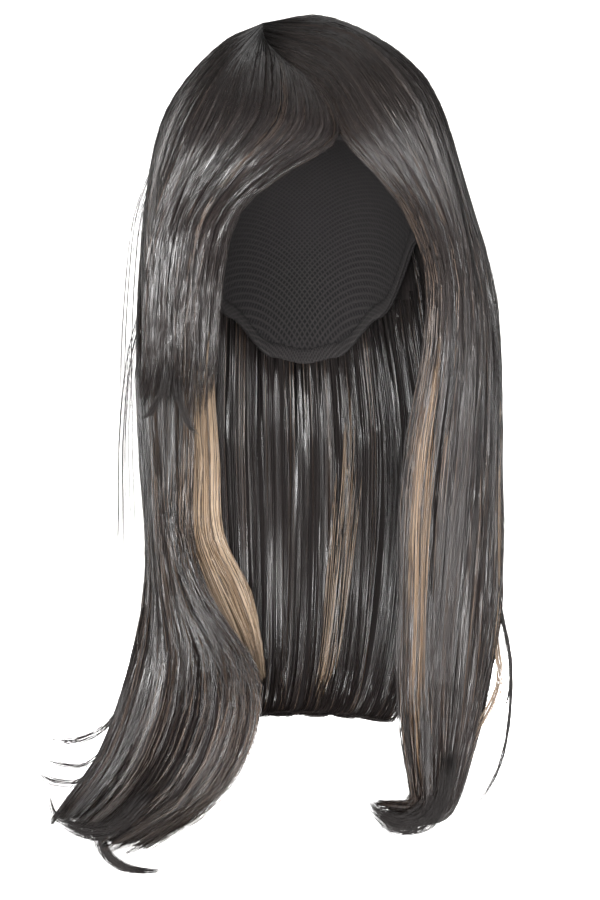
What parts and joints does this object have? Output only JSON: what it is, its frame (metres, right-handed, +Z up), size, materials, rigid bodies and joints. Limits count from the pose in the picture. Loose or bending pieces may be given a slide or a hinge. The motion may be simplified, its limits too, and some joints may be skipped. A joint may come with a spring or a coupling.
{
  "type": "long straight wig",
  "caption": "Long straight dark wig with a side part, swept fringe and fair streaks on a hollow fitted cap; one side flips out at its end and the other curls in.",
  "frame": {"origin": "middle of the head opening at brow height, where the wearer's head carries the wig", "axes": "+Z up, the face opening looks along -Y, +X is the right-hand side seen from the front"},
  "size_m": [0.2709, 0.2164, 0.4884],
  "materials": {
    "cap_net": "matt stretch net",
    "band_cloth": "matt stretch band",
    "dark_hair": "satin synthetic fibre, brown-black",
    "fair_hair": "satin synthetic fibre, caramel"
  },
  "bodies": {
    "root": {"cap": "cap_net", "edge_band": "band_cloth", "back_hair": "dark_hair", "left_hair": "dark_hair", "right_hair": "dark_hair", "sweep": "dark_hair", "fringe": "dark_hair", "highlight_left": "fair_hair", "highlight_right": "fair_hair", "highlight_right_edge": "fair_hair", "highlight_back": "fair_hair"}
  },
  "joints": []
}
